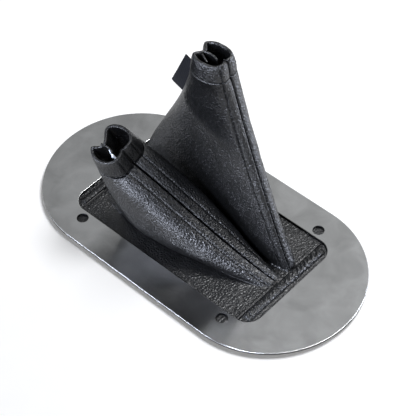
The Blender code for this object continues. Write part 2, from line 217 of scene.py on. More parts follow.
def sewn_side(boot, side, wall_rows, seed):
    """One side of a boot, from the turned hem's inner end over the rim and down to just above the foot."""
    hem_run = np.concatenate((np.linspace(boot.hem - RIM_WALL / 2, HEM_RUN[0], HEM_ROWS - 4), HEM_RUN[1:]))
    heights = hem_run / boot.hem
    trial_shares = np.linspace(0, 1, 161)
    trial = boot.wall_rows(side, DENSE_ANGLES[::8], trial_shares)
    trial_steps = np.linalg.norm(np.diff(trial, axis=0), axis=2).mean(axis=1)
    trial_down = np.concatenate(((0,), np.cumsum(trial_steps)))
    wall_down = np.concatenate((HEM_RUN[-2:0:-1],
                                np.linspace(HEM_RUN[0], trial_down[-1] - FILLET, wall_rows - 4)))
    shares = np.concatenate((np.interp(wall_down, trial_down, trial_shares), (1.0,)))
    rows = np.concatenate((boot.hem_rows(side, DENSE_ANGLES, heights),
                           boot.wall_rows(side, DENSE_ANGLES, shares)))
    points, angles, places, totals = even_columns(rows)
    foot, foot_angles = points[-1], angles[-1]
    points, places, totals = points[:-1], places[:-1], totals[:-1]
    down = np.concatenate((-heights * boot.hem, wall_down))[:, None]

    normals = np.cross(np.gradient(points, axis=1), np.gradient(points, axis=0)) * -side
    sideways = np.concatenate((np.tile(boot.side, (len(heights), 1)), boot.across(shares[:-1])))
    for column in (0, -1):
        normals[:, column] -= sideways * (normals[:, column] * sideways).sum(axis=1, keepdims=True)
    normals /= np.linalg.norm(normals, axis=2, keepdims=True)

    rear = totals - places
    edge = np.minimum(places, rear)
    free = np.clip((edge - 4 * MM) / (12 * MM), 0, 1)
    below = np.clip(down / (10 * MM), 0, 1)
    pucker = 1 + 0.6 * np.cos(2 * math.pi * down / STITCH_PITCH)
    lift = ALLOWANCE_LIFT * bell(places - ALLOWANCE_MIDDLE, ALLOWANCE_WIDTH)
    lift -= STITCH_DIP * pucker * bell(places - STITCH_OFFSET, STITCH_GROOVE)
    above_base = np.clip((points[..., 2] - BASE_TOP) / SEAM_FADE, 0.15, 1)
    lift -= SEAM_PULL * bell(places, SEAM_GROOVE) * above_base
    lift -= HEM_DIP * bell(down, HEM_GROOVE) * np.clip(edge / (2 * MM), 0.3, 1)
    lift += HEM_LIFT * np.clip(-down / (1.2 * MM), 0, 1) * np.clip(edge / (4 * MM), 0, 1)
    to_rim = np.clip(1 - (down + boot.hem) / (6 * MM), 0, 1)
    lift -= RIM_DRAW * to_rim ** 2
    waves = noise_at(points, 18 * MM, seed)
    creases = noise_at(points, np.array((5.0, 5.0, 8.0)) * MM, seed + 3)
    lift += 0.35 * MM * waves * free * below
    lift += 0.1 * MM * creases * np.clip(edge / (5 * MM), 0, 1)
    sunk = np.maximum(seam_roll(places, SEAM_ROLL), seam_roll(rear, REAR_ROLL))
    surface = points + normals * (lift - sunk)[..., None]

    inner = (points - normals * RIM_WALL)[1:HEM_ROWS][::-1]
    upward = points[0] - points[1]
    upward /= np.linalg.norm(upward, axis=1, keepdims=True)
    uneven = 0.35 * MM * noise_at(points[0], 9 * MM, seed + 5)
    outer_offset, inner_offset = (lift - sunk)[0], -RIM_WALL
    middle, radius = (outer_offset + inner_offset) / 2, (outer_offset - inner_offset) / 2
    fold = []
    for turn in np.linspace(math.pi, 0, FOLD_ROWS + 1)[:-1]:
        offset = middle + radius * math.cos(turn)
        rise = (radius + uneven) * math.sin(turn)
        fold.append(points[0] + normals[0] * offset[:, None] + upward * rise[:, None])
    return {"rows": np.concatenate((inner, np.array(fold), surface)), "foot": foot, "angles": foot_angles,
            "outside": surface, "normals": normals, "first": len(inner) + len(fold)}


def wall_bend(last_row, foot, base_row):
    """Rows that bend a wall out into the base, on a curve pulled to the corner between them."""
    rows = []
    for share in np.linspace(0, 1, FILLET_ROWS + 2)[1:-1]:
        rows.append(last_row * (1 - share) ** 2 + foot * 2 * share * (1 - share) + base_row * share ** 2)
    return rows


def laid_base(boot, side, foot, angles):
    """The flat base from a foot out to the flange's edge, which is turned under."""
    middle = np.array(((FRONT_LINE + REAR_LINE) / 2, (boot.front_foot[1] + boot.rear_foot[1]) / 2, BASE_TOP))
    half_length = (FRONT_LINE - REAR_LINE) / 2
    depth = FLANGE_EDGE - side * middle[1]
    corner = math.atan2(depth, half_length)
    snapped = angles.copy()
    for target in (corner, math.pi - corner):
        snapped[np.argmin(np.abs(snapped - target))] = target
    run, rise = np.cos(snapped), np.sin(snapped)
    reach = np.minimum(half_length / np.maximum(np.abs(run), 1e-9), depth / np.maximum(rise, 1e-9))
    edge = middle + np.stack((run * reach, side * rise * reach, 0 * run), axis=1)
    edge[0], edge[-1] = foot[0], foot[-1]
    span = np.linalg.norm(edge - foot, axis=1)
    direction = (edge - foot) / np.maximum(span, 1e-6)[:, None]
    start = np.minimum(FILLET, 0.4 * span)
    rows = []
    for share in np.linspace(0, 1, 26) ** 0.9:
        row = foot + direction * (start + (span - start) * share)[:, None]
        to_seam = np.minimum(FRONT_LINE - row[:, 0], row[:, 0] - REAR_LINE)
        inside = np.clip((OPENING_HALF_WIDTH - 1 * MM - np.abs(row[:, 1])) / (8 * MM), 0, 1)
        swell = 0.35 * MM * noise_at(row, 15 * MM, 21 + side) + 0.25 * MM
        row[:, 2] += swell * inside * np.clip(to_seam / (6 * MM), 0, 1)
        row[:, 2] -= 0.75 * seam_roll(to_seam, SEAM_ROLL)
        rows.append(row)
    flat = rows[-1]
    outward = np.where((snapped >= corner)[:, None] & (snapped <= math.pi - corner)[:, None],
                       np.array((0.0, side, 0.0)), np.sign(run)[:, None] * np.array((1.0, 0.0, 0.0)))
    back = np.minimum(TURNED_EDGE, 0.4 * span)
    under = np.outer(flat[:, 2] / 2 * np.minimum(1, back / LEATHER), (0.0, 0.0, 1.0))
    for turn in np.linspace(0, math.pi, 6)[1:]:
        rows.append(flat + outward * np.minimum(LEATHER, back)[:, None] * (math.sin(turn) - 1)
                    - under * (1 - math.cos(turn)))
    rows.append(rows[-1] - outward * back[:, None])
    return rows


def lay_sheet(rows):
    """A grid of quads laid on rows of points, with a UV map in metres along the two ways of the sheet."""
    rows = np.array(rows)
    count, columns = rows.shape[:2]
    sheet = bmesh.new()
    bmesh.ops.create_grid(sheet, x_segments=columns - 1, y_segments=count - 1, size=1.0)
    steps_along = np.linalg.norm(np.diff(rows, axis=1), axis=2)
    steps_down = np.linalg.norm(np.diff(rows, axis=0), axis=2).mean(axis=1)
    along = np.concatenate((np.zeros((count, 1)), np.cumsum(steps_along, axis=1)), axis=1)
    down = np.concatenate(((0,), np.cumsum(steps_down)))
    spots = rows.reshape(-1, 3).tolist()
    places = [(float(along[row, column]), float(down[row]))
              for row in range(count) for column in range(columns)]
    for vert in sheet.verts:
        vert.co = spots[vert.index]
    layer = sheet.loops.layers.uv.new("sheet")
    for face in sheet.faces:
        for loop in face.loops:
            loop[layer].uv = places[loop.vert.index]
    sheet.normal_update()
    return sheet


def point_outward(sheet, place, direction):
    """Turn all the faces round if the one nearest a place looks against its outward direction."""
    nearest = min(sheet.faces, key=lambda face: (face.calc_center_median() - Vector(place)).length)
    if nearest.normal.dot(Vector(direction)) < 0:
        bmesh.ops.reverse_faces(sheet, faces=sheet.faces)


def make_piece(name, shape, material, nodes=()):
    """Turn a finished bmesh into a smooth-shaded piece that rides on the one body."""
    mesh = bpy.data.meshes.new(name)
    shape.to_mesh(mesh)
    shape.free()
    mesh.shade_smooth()
    mesh.materials.append(material)
    piece = bpy.data.objects.new(name, mesh)
    bpy.context.scene.collection.objects.link(piece)
    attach(piece, "root")
    if nodes:
        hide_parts(*nodes)
    return piece


def give_thickness(piece, thickness):
    wall = piece.modifiers.new("hide", "SOLIDIFY")
    wall.thickness = thickness
    wall.offset = -1.0


def colour(hex_code):
    """An sRGB hex value as linear light."""
    channels = [int(hex_code[place:place + 2], 16) / 255 for place in (1, 3, 5)]
    linear = [value / 12.92 if value <= 0.04045 else ((value + 0.055) / 1.055) ** 2.4 for value in channels]
    return (*linear, 1.0)


def add_node(tree, kind, settings, links=()):
    """Add a node; settings name its properties or input sockets, links pair a socket with its source."""
    made = tree.nodes.new(kind)
    for name, value in settings.items():
        if isinstance(name, str) and hasattr(made, name):
            setattr(made, name, value)
        else:
            made.inputs[name].default_value = value
    for name, source in links:
        tree.links.new(source, made.inputs[name])
    return made


def start_material(name):
    """A material with the default node tree, which holds just the shader."""
    made = bpy.data.materials.new(name)
    made.use_nodes = True
    return made, made.node_tree, made.node_tree.nodes["Principled BSDF"]


def grained_hide(name, pebble, relief):
    """Chrome-tanned hide, embossed with pebbles under a half-matt black film.

    The tops of the pebbles are glossier and catch the light; the valleys between them are a little duller,
    and their base colour is painted darker as shade.
    The relief is only bump: folds, seams and hems are in the meshes.
    """
    made, tree, shader = start_material(name)
    place = add_node(tree, "ShaderNodeTexCoord", {}).outputs["Object"]
    drift = add_node(tree, "ShaderNodeTexNoise", {"Scale": 1 / (3.5 * MM), "Detail": 2.0},
                     [("Vector", place)])
    warped = add_node(tree, "ShaderNodeVectorMath",
                      {"operation": "MULTIPLY_ADD", 1: (0.0018, 0.0018, 0.0018)},
                      [(0, drift.outputs["Color"]), (2, place)])
    cells = add_node(tree, "ShaderNodeTexVoronoi", {"feature": "DISTANCE_TO_EDGE", "Scale": 1 / pebble},
                     [("Vector", warped.outputs["Vector"])])
    tops = add_node(tree, "ShaderNodeMapRange", {"interpolation_type": "SMOOTHSTEP", "From Max": 0.34},
                    [("Value", cells.outputs["Distance"])])
    grains = add_node(tree, "ShaderNodeTexNoise", {"Scale": 1 / (1.5 * MM), "Detail": 1.0},
                      [("Vector", place)])
    sways = add_node(tree, "ShaderNodeTexNoise", {"Scale": 1 / (8.0 * MM), "Detail": 2.0},
                     [("Vector", place)])
    height = add_node(tree, "ShaderNodeMath", {"operation": "MULTIPLY_ADD", 1: 0.6},
                      [(0, grains.outputs["Fac"]), (2, tops.outputs["Result"])])
    height = add_node(tree, "ShaderNodeMath", {"operation": "MULTIPLY_ADD", 1: 1.5},
                      [(0, sways.outputs["Fac"]), (2, height.outputs["Value"])])
    bump = add_node(tree, "ShaderNodeBump", {"Strength": 1.0, "Distance": relief},
                    [("Height", height.outputs["Value"])])
    # painted shade: the base colour is darker in the valleys between the pebbles than on their tops
    shade = add_node(tree, "ShaderNodeMix", {"data_type": "RGBA", 6: colour("#020202"), 7: colour("#08090b")},
                     [(0, tops.outputs["Result"])])
    gloss = add_node(tree, "ShaderNodeMapRange", {"To Min": 0.4, "To Max": 0.34},
                     [("Value", tops.outputs["Result"])])
    tree.links.new(shade.outputs[2], shader.inputs["Base Color"])
    tree.links.new(gloss.outputs["Result"], shader.inputs["Roughness"])
    tree.links.new(bump.outputs["Normal"], shader.inputs["Normal"])
    shader.inputs["IOR"].default_value = 1.5
    shader.inputs["Specular IOR Level"].default_value = 0.6
    return made


# pebbles of 2.3 mm are coarse for upholstery hide; finer ones would be lost at the photo's resolution
hide = grained_hide("black pebbled upholstery hide", pebble=2.3 * MM, relief=0.22 * MM)
short_boot = Boot(
    collar=(-54.2, -35.0, 87.4), axis=(-0.03, -0.38, 0.95), front=(1.0, 0.0, 0.1),
    half_depth=16.2, half_width=16.8, hem=18.3, flare=1.14, front_foot_y=-2.0, rear_foot_y=-22.0,
    front_pulls=((35.7, 8.2, -22.4), (-32.6, -8.3, 13.7)), rear_pulls=((9.4, 0.0, -32.8), (56.8, -3.0, -1.2)),
    bellies=(15.3, 9.5), bulges=(5.4, 9.0), pinch=0.62, pinch_shift=-3.4, ridge=3.2)
near_side = sewn_side(short_boot, NEAR, wall_rows=78, seed=1)
near_base = laid_base(short_boot, NEAR, near_side["foot"], near_side["angles"])
near_bend = wall_bend(near_side["rows"][-1], near_side["foot"], near_base[0])
near_sheet = lay_sheet(np.concatenate((near_side["rows"], near_bend, near_base)))
point_outward(near_sheet, near_side["outside"][40, 60], near_side["normals"][40, 60])
near_panel = make_piece("near_panel_hide", near_sheet, hide, ["near_panel"])
give_thickness(near_panel, LEATHER)


# ---------------------------------------------------------------------------------------------
# Centre panel: one piece of the same hide, from the short boot's far wall down into the narrow
# valley and up the tall boot's near wall. It carries half of each boot's turned hem.
# ---------------------------------------------------------------------------------------------
tall_boot = Boot(
    collar=(0.2, 21.1, 171.3), axis=(0.0, 0.0, 1.0), front=(0.97, 0.09, 0.08),
    half_depth=15.5, half_width=12.6, hem=14.6, flare=1.13, front_foot_y=12.6, rear_foot_y=22.0,
    front_pulls=((-3.4, 4.8, -24.8), (-13.3, 0.0, 29.2)), rear_pulls=((-8.5, 0.0, -50.8), (16.3, 0.0, 58.9)),
    bellies=(6.5, 19.3), bulges=(-0.5, 0.4), pinch=0.45, pinch_shift=0.0, ridge=2.6)
short_far_side = sewn_side(short_boot, FAR, wall_rows=78, seed=2)
tall_near_side = sewn_side(tall_boot, NEAR, wall_rows=120, seed=3)
valley = tall_near_side["foot"] - short_far_side["foot"]
valley_width = np.linalg.norm(valley, axis=1)
valley_way = valley / valley_width[:, None]
valley_start = np.minimum(FILLET, 0.4 * valley_width)[:, None]
valley_rows = []
for share in (0.0, 0.33, 0.67, 1.0):
    stretch = valley_start + (valley_width[:, None] - 2 * valley_start) * share
    valley_rows.append(short_far_side["foot"] + valley_way * stretch)
short_bend = wall_bend(short_far_side["rows"][-1], short_far_side["foot"], valley_rows[0])
tall_bend = wall_bend(tall_near_side["rows"][-1], tall_near_side["foot"], valley_rows[-1])
centre_sheet = lay_sheet(np.concatenate((short_far_side["rows"], short_bend, valley_rows, tall_bend[::-1],
                                         tall_near_side["rows"][::-1])))
point_outward(centre_sheet, tall_near_side["outside"][60, 60], tall_near_side["normals"][60, 60])
centre_panel = make_piece("centre_panel_hide", centre_sheet, hide, ["centre_panel"])
give_thickness(centre_panel, LEATHER)


# ---------------------------------------------------------------------------------------------
# Far panel: the tall boot's far wall with its half of the hem, and the far part of the base, in
# the same hide, sewn to the centre panel along the tall boot's two seams.
# ---------------------------------------------------------------------------------------------
far_side = sewn_side(tall_boot, FAR, wall_rows=120, seed=4)
far_base = laid_base(tall_boot, FAR, far_side["foot"], far_side["angles"])
far_bend = wall_bend(far_side["rows"][-1], far_side["foot"], far_base[0])
far_sheet = lay_sheet(np.concatenate((far_side["rows"], far_bend, far_base)))
point_outward(far_sheet, far_side["outside"][60, 60], far_side["normals"][60, 60])
far_panel = make_piece("far_panel_hide", far_sheet, hide, ["far_panel"])
give_thickness(far_panel, LEATHER)


# ---------------------------------------------------------------------------------------------
# End strips: soft strips of the hide, sewn across the panels' ends over a thin cord of foam. The
# front one is gathered by its stitches into small slanting ribs; the rear one lies nearly flat.
# ---------------------------------------------------------------------------------------------
STRIP_LENGTH = 118.0 * MM
STRIP_REACH = 17.0 * MM
OPENING_HALF_LENGTH = 93.5 * MM
ROLL_CLEARANCE = 4.0 * MM
ROLL_HALF_LENGTH = 43.15 * MM
RIB_PITCH = 4.4 * MM
ROLL_STEPS = 23
STRIP_COLUMNS = 260


def end_strip(seam_line, sign, roll_height, rib_depth, seed):
    """Rows from the sewn edge over the roll and out flat under the plate."""
    roll_width = OPENING_HALF_LENGTH - abs(seam_line) - ROLL_CLEARANCE
    reach = OPENING_HALF_LENGTH - abs(seam_line) + STRIP_REACH
    y = np.linspace(-STRIP_LENGTH / 2, STRIP_LENGTH / 2, STRIP_COLUMNS)
    end_fade = np.clip((ROLL_HALF_LENGTH - np.abs(y)) / roll_width, 0, 1)
    swell = np.sqrt(end_fade * (2 - end_fade))
    over_roll = 0.1 * MM + np.linspace(0, 1, ROLL_STEPS) * roll_width
    distances = np.concatenate((over_roll, np.linspace(roll_width + 1.5 * MM, reach, 8)))
    rows = []
    for distance in distances:
        share = min(1.0, distance / roll_width)
        crown = math.sqrt(max(0.0, 1 - (2 * share - 1) ** 2))
        row = np.stack((seam_line + sign * distance + 0 * y, y, BASE_TOP + 0 * y), axis=1)
        drift = 1.6 * MM * noise_at(row * (0, 1, 0), 11 * MM, seed) + 0.55 * distance
        rib = np.sin(math.pi * (y + drift) / RIB_PITCH) ** 2
        rib_share = bell(share - 0.45, 0.38) * (0.75 + 0.5 * noise_at(row, 7 * MM, seed + 2))
        row[:, 2] += roll_height * crown * swell - rib_depth * rib * rib_share * swell
        row[:, 2] += 0.15 * MM * noise_at(row, 5 * MM, seed + 4) * crown * swell
        row[:, 2] -= seam_roll(np.array(distance), SEAM_ROLL)
        rows.append(row)
    return lay_sheet(rows)


front_strip_sheet = end_strip(FRONT_LINE, 1, roll_height=3.1 * MM, rib_depth=1.4 * MM, seed=6)
point_outward(front_strip_sheet, (86 * MM, 0, 5 * MM), (0, 0, 1))
front_strip = make_piece("front_strip_hide", front_strip_sheet, hide, ["front_end_strip"])
give_thickness(front_strip, LEATHER)
rear_strip_sheet = end_strip(REAR_LINE, -1, roll_height=1.6 * MM, rib_depth=0.25 * MM, seed=9)
point_outward(rear_strip_sheet, (-87 * MM, 0, 4 * MM), (0, 0, 1))
rear_strip = make_piece("rear_strip_hide", rear_strip_sheet, hide, ["rear_end_strip"])
give_thickness(rear_strip, LEATHER)


# ---------------------------------------------------------------------------------------------
# Seam allowances in the mouths: at each rear seam the two hides' edges, 1.2 mm thick, stick out
# in the collar, curl there and hang down 8 to 14 mm. Beside one of them hangs a small pale, fuzzy flap.
FLAP_THICKNESS = 1.2 * MM

# pale and fuzzy, this flap is the one light spot inside the dark mouth
pale_flap, core_tree, core_shader = start_material("pale fuzzy flap in the short mouth")
core_place = add_node(core_tree, "ShaderNodeTexCoord", {}).outputs["Object"]
nap = add_node(core_tree, "ShaderNodeTexNoise", {"Scale": 1 / (0.7 * MM), "Detail": 3.0},
               [("Vector", core_place)])
core_bump = add_node(core_tree, "ShaderNodeBump", {"Strength": 0.8, "Distance": 0.15 * MM},
                     [("Height", nap.outputs["Fac"])])
core_shade = add_node(core_tree, "ShaderNodeMix",
                      {"data_type": "RGBA", 6: colour("#9aa3b4"), 7: colour("#e4e9f2")},
                      [(0, nap.outputs["Fac"])])
core_tree.links.new(core_shade.outputs[2], core_shader.inputs["Base Color"])
core_tree.links.new(core_bump.outputs["Normal"], core_shader.inputs["Normal"])
core_shader.inputs["Roughness"].default_value = 0.8


def mouth_flap(name, boot, path, drop, depth, material):
    """A flap that hangs down inside a collar from a curved path in its plane (front, side, in mm)."""
    shares = np.linspace(0, 1, 24)
    start, start_pull, end_pull, end = (np.array(place, float) * MM for place in path)
    line = curve(start, start_pull, end_pull, end, shares)
    rows = []
    for fall in np.linspace(0, 1, 10):
        sway = 0.6 * MM * math.sin(2.5 * fall) * shares[:, None]
        rows.append(boot.collar + boot.front * line[:, :1] + boot.side * (line[:, 1:] + sway)
                    - boot.axis * (drop * MM + depth * MM * fall + 1.5 * MM * shares ** 2)[:, None])
    sheet = lay_sheet(rows)
    flap = make_piece(name, sheet, material)
    give_thickness(flap, FLAP_THICKNESS)


for flap_name, flap_boot, flap_path, flap_drop, flap_depth, flap_material in (
        ("short_mouth_allowance", short_boot, ((-7.0, -3.0), (4.0, 0.5), (-4.0, 3.5), (5.5, -5.0)),
         0.8, 14.0, hide),
        ("short_mouth_pale_flap", short_boot, ((1.5, -3.6), (2.0, -0.8), (-1.0, 2.0), (7.0, -7.0)),
         2.2, 8.0, pale_flap),
        ("tall_mouth_allowance", tall_boot, ((-8.0, -0.6), (4.0, 1.8), (-4.0, 1.2), (5.0, -0.4)),
         0.8, 14.0, hide),
        ("tall_mouth_lower_allowance", tall_boot, ((-8.0, -0.9), (2.0, -2.0), (-2.0, 1.0), (0.5, -6.0)),
         1.6, 12.0, hide)):
    mouth_flap(flap_name, flap_boot, flap_path, flap_drop, flap_depth, flap_material)


# ---------------------------------------------------------------------------------------------
# Sewing thread: bonded black polyester in lockstitches 3.1 mm apart, each seen as 2.4 mm of thread
# half sunk in the hide: beside the two front seams, round both hems and along the end strips.
# ---------------------------------------------------------------------------------------------
STITCH_SIZE = (2.4 * MM, 0.95 * MM, 0.6 * MM)
STITCH_RISE = 0.4 * MM
STRIP_STITCHES = 2.4 * MM           # their distance from the line where strip and panels meet


def sew(shape, path, normals):
    """Lay stitches along a path of surface points, each half sunk along its own normal."""
    line = bmesh.new()
    run = np.concatenate(((0,), np.cumsum(np.linalg.norm(np.diff(path, axis=0), axis=1))))
    for place in np.arange(STITCH_PITCH / 2, run[-1], STITCH_PITCH):
        spot, before, after = (
            np.array([np.interp(place + step * MM, run, path[:, axis]) for axis in range(3)])
            for step in (0, -0.8, 0.8))
        normal = Vector([np.interp(place, run, normals[:, axis]) for axis in range(3)]).normalized()
        way = Vector(after - before).normalized()
        cross = normal.cross(way).normalized()
        turn = Matrix((way, cross, way.cross(cross))).transposed().to_4x4()
        laid = Matrix.Translation(Vector(spot) + normal * STITCH_RISE) @ turn
        laid = laid @ Matrix.Diagonal((*STITCH_SIZE, 1.0))
        bmesh.ops.create_uvsphere(line, u_segments=8, v_segments=6, radius=0.5, matrix=laid)
    sewn = bpy.data.meshes.new("sewn line")
    line.to_mesh(sewn)
    line.free()
    shape.from_mesh(sewn)
    bpy.data.meshes.remove(sewn)


# dull and blacker than the hide, so that the stitches read as dark dashes
thread, thread_tree, thread_shader = start_material("bonded black polyester thread")
thread_place = add_node(thread_tree, "ShaderNodeTexCoord", {}).outputs["Object"]
twist = add_node(thread_tree, "ShaderNodeTexWave",
                 {"Scale": 1 / (1.2 * MM), "Distortion": 1.0, "bands_direction": "DIAGONAL"},
                 [("Vector", thread_place)])
twist_bump = add_node(thread_tree, "ShaderNodeBump", {"Strength": 0.5, "Distance": 0.08 * MM},
                      [("Height", twist.outputs["Fac"])])
twist_shade = add_node(thread_tree, "ShaderNodeMix",
                       {"data_type": "RGBA", 6: colour("#010101"), 7: colour("#040405")},
                       [(0, twist.outputs["Fac"])])
thread_tree.links.new(twist_shade.outputs[2], thread_shader.inputs["Base Color"])
thread_tree.links.new(twist_bump.outputs["Normal"], thread_shader.inputs["Normal"])
thread_shader.inputs["Roughness"].default_value = 0.6
thread_shader.inputs["Specular IOR Level"].default_value = 0.25

stitching = bmesh.new()
for part in (near_side, short_far_side, tall_near_side, far_side):
    sew(stitching, part["outside"][1:, STITCH_COLUMN], part["normals"][1:, STITCH_COLUMN])
    sew(stitching, part["outside"][HEM_ROWS, 3:-3], part["normals"][HEM_ROWS, 3:-3])
for seam_line, sign in ((FRONT_LINE, 1), (REAR_LINE, -1)):
    strip_y = np.linspace(-44 * MM, 44 * MM, 80)
    strip_x = seam_line - sign * STRIP_STITCHES + 0 * strip_y
    strip_path = np.stack((strip_x, strip_y, BASE_TOP + 0.1 * MM + 0 * strip_y), axis=1)
    sew(stitching, strip_path, np.tile((0.0, 0.0, 1.0), (80, 1)))
make_piece("top_stitching", stitching, thread)


# ---------------------------------------------------------------------------------------------
# Woven label: a plain black satin-weave ribbon, folded double and caught in the tall boot's rear
# seam below the hem. It is left blank.
# ---------------------------------------------------------------------------------------------
TAG_LENGTH = 38.0 * MM
TAG_REACH = 11.5 * MM
TAG_DROP = 8.0 * MM
TAG_HALF = 0.55 * MM

rear_edge = far_side["outside"][HEM_ROWS:, -1]
rear_run = np.concatenate(((0,), np.cumsum(np.linalg.norm(np.diff(rear_edge, axis=0), axis=1))))
tag_places = np.linspace(TAG_DROP, TAG_DROP + TAG_LENGTH, 36)
tag_seam = np.stack([np.interp(tag_places, rear_run, rear_edge[:, axis]) for axis in range(3)], axis=1)
tag_side = np.array((0.0, 1.0, 0.0))
tag_outward = unit(np.cross(tag_side, tag_seam[-1] - tag_seam[0]))
tag_fold = max(tag_seam @ tag_outward) + TAG_REACH
tag_rows = []
for share, half in ((0.0, 0.35), (0.15, 0.5), (0.35, 0.75), (0.55, 0.9),
                    (0.75, 1.0), (0.9, 1.0), (0.97, 0.75), (1.0, 0.3)):
    tag_rows.append((share, -half))
tag_rows += [(share, -half) for share, half in tag_rows[::-1]]
tag_sheet = lay_sheet([[point + tag_outward * (tag_fold - point @ tag_outward) * share
                        + tag_side * (TAG_HALF * half + 0.5 * MM * math.sin(3.2 * row / 35) * share)
                        for row, point in enumerate(tag_seam)] for share, half in tag_rows])
point_outward(tag_sheet, tag_seam[18] + tag_outward * 8 * MM - tag_side * 2 * MM, -tag_side)

# matt beside the hide, with faint slanting ribs; they are 2.7 mm apart, as real yarns are too fine to see
ribbon, ribbon_tree, ribbon_shader = start_material("black satin-weave polyester ribbon")
ribbon_place = add_node(ribbon_tree, "ShaderNodeUVMap", {"uv_map": "sheet"}).outputs["UV"]
ribs = add_node(ribbon_tree, "ShaderNodeTexWave", {"Scale": 1 / (6.0 * MM), "bands_direction": "DIAGONAL"},
                [("Vector", ribbon_place)])
yarns = add_node(ribbon_tree, "ShaderNodeTexNoise", {"Scale": 1 / (0.9 * MM), "Detail": 2.0},
                 [("Vector", ribbon_place)])
weave = add_node(ribbon_tree, "ShaderNodeMath", {"operation": "MULTIPLY_ADD", 1: 0.6},
                 [(0, yarns.outputs["Fac"]), (2, ribs.outputs["Fac"])])
ribbon_bump = add_node(ribbon_tree, "ShaderNodeBump", {"Strength": 0.5, "Distance": 0.1 * MM},
                       [("Height", weave.outputs["Value"])])
ribbon_shade = add_node(ribbon_tree, "ShaderNodeMix",
                        {"data_type": "RGBA", 6: colour("#050506"), 7: colour("#121318")},
                        [(0, yarns.outputs["Fac"])])
ribbon_tree.links.new(ribbon_shade.outputs[2], ribbon_shader.inputs["Base Color"])
ribbon_tree.links.new(ribbon_bump.outputs["Normal"], ribbon_shader.inputs["Normal"])
ribbon_shader.inputs["Roughness"].default_value = 0.75
ribbon_shader.inputs["Specular IOR Level"].default_value = 0.2
tag = make_piece("blank_label", tag_sheet, ribbon, ["woven_tag"])
give_thickness(tag, 0.3 * MM)


# ---------------------------------------------------------------------------------------------
# Trim plate: 2 mm stainless sheet, 290 x 150 mm, laser cut to a straight-sided oval with a rounded
# opening and four plain screw holes, its long edges broken and its face rubbed with an abrasive pad.
# ---------------------------------------------------------------------------------------------
RING_BOTTOM = 2.9 * MM
RING_THICKNESS = 2.0 * MM
RING_RADIUS = 75.0 * MM
RING_STRAIGHT = 70.0 * MM           # from the middle to the centre of each half-round end
OPENING_CORNER = 13.0 * MM
SCREW_RADIUS = 4.7 * MM
SCREW_ROW = 55.35 * MM
SCREW_FRONT = 72.4 * MM
SCREW_REAR = -74.2 * MM
BROKEN_EDGE = 0.4 * MM
HOLE_EDGE_LIMIT = 1.0 * MM          # a hole's rim is made of edges 0.6 mm long, other rims of over 1.1 mm


def cut_outline(plate, radius, segments, half_x, half_y, centre=(0.0, 0.0)):
    """A circle whose quarters are moved apart, so that it becomes an oval or a rounded rectangle."""
    turned = Matrix.Rotation(math.pi / segments, 4, "Z")
    ring = bmesh.ops.create_circle(plate, segments=segments, radius=radius, matrix=turned)
    for vert in ring["verts"]:
        vert.co.x += math.copysign(half_x, vert.co.x) + centre[0]
        vert.co.y += math.copysign(half_y, vert.co.y) + centre[1]
        vert.co.z = RING_BOTTOM


plate = bmesh.new()
cut_outline(plate, RING_RADIUS, 200, RING_STRAIGHT, 0.0)
cut_outline(plate, OPENING_CORNER, 72, OPENING_HALF_LENGTH - OPENING_CORNER,
            OPENING_HALF_WIDTH - OPENING_CORNER)
for hole_x in (SCREW_FRONT, SCREW_REAR):
    for hole_y in (-SCREW_ROW, SCREW_ROW):
        cut_outline(plate, SCREW_RADIUS, 48, 0.0, 0.0, (hole_x, hole_y))
bmesh.ops.triangle_fill(plate, edges=plate.edges[:], use_beauty=True)
lifted = bmesh.ops.extrude_face_region(plate, geom=plate.faces[:])
bmesh.ops.translate(plate, verts=[item for item in lifted["geom"] if isinstance(item, bmesh.types.BMVert)],
                    vec=(0, 0, RING_THICKNESS))
bmesh.ops.recalc_face_normals(plate, faces=plate.faces)
# the drilled holes keep sharp rims
rims = [edge for edge in plate.edges
        if edge.calc_face_angle() > 1.0 and edge.calc_length() > HOLE_EDGE_LIMIT]
bmesh.ops.bevel(plate, geom=rims, offset=BROKEN_EDGE, offset_type="OFFSET", segments=3, profile=0.5,
                affect="EDGES", material=-1, clamp_overlap=True)
plate.normal_update()
# the second material, for the upright cut faces, is the steel painted dark as shade
for face in plate.faces:            # the upright cut faces take the second material
    face.material_index = 1 if abs(face.normal.z) < 0.05 else 0

# soft, cloudy mirror: it blurs the surround across the plate, and wiped patches shift its grey a little
steel, steel_tree, steel_shader = start_material("satin-rubbed stainless sheet")
steel_place = add_node(steel_tree, "ShaderNodeTexCoord", {}).outputs["Object"]
rub = add_node(steel_tree, "ShaderNodeTexNoise", {"Scale": 1 / (1.6 * MM), "Detail": 4.0, "Distortion": 2.0},
               [("Vector", steel_place)])
cloud = add_node(steel_tree, "ShaderNodeTexNoise",
                 {"Scale": 1 / (22.0 * MM), "Detail": 6.0, "Distortion": 0.5}, [("Vector", steel_place)])
steel_bump = add_node(steel_tree, "ShaderNodeBump", {"Strength": 0.2, "Distance": 0.02 * MM},
                      [("Height", rub.outputs["Fac"])])
steel_rough = add_node(steel_tree, "ShaderNodeMapRange", {"To Min": 0.19, "To Max": 0.25},
                       [("Value", cloud.outputs["Fac"])])
wipe = add_node(steel_tree, "ShaderNodeMapRange", {"From Min": 0.3, "From Max": 0.7},
                [("Value", cloud.outputs["Fac"])])
steel_shade = add_node(steel_tree, "ShaderNodeMix",
                       {"data_type": "RGBA", 6: colour("#b0b0af"), 7: colour("#cbcbca")},
                       [(0, wipe.outputs["Result"])])
steel_tree.links.new(steel_shade.outputs[2], steel_shader.inputs["Base Color"])
steel_tree.links.new(steel_rough.outputs["Result"], steel_shader.inputs["Roughness"])
steel_tree.links.new(steel_bump.outputs["Normal"], steel_shader.inputs["Normal"])
steel_shader.inputs["Metallic"].default_value = 1.0
steel_shader.inputs["Anisotropic"].default_value = 0.8
across_grain = add_node(steel_tree, "ShaderNodeCombineXYZ", {"Y": 1.0})
steel_tree.links.new(across_grain.outputs["Vector"], steel_shader.inputs["Tangent"])
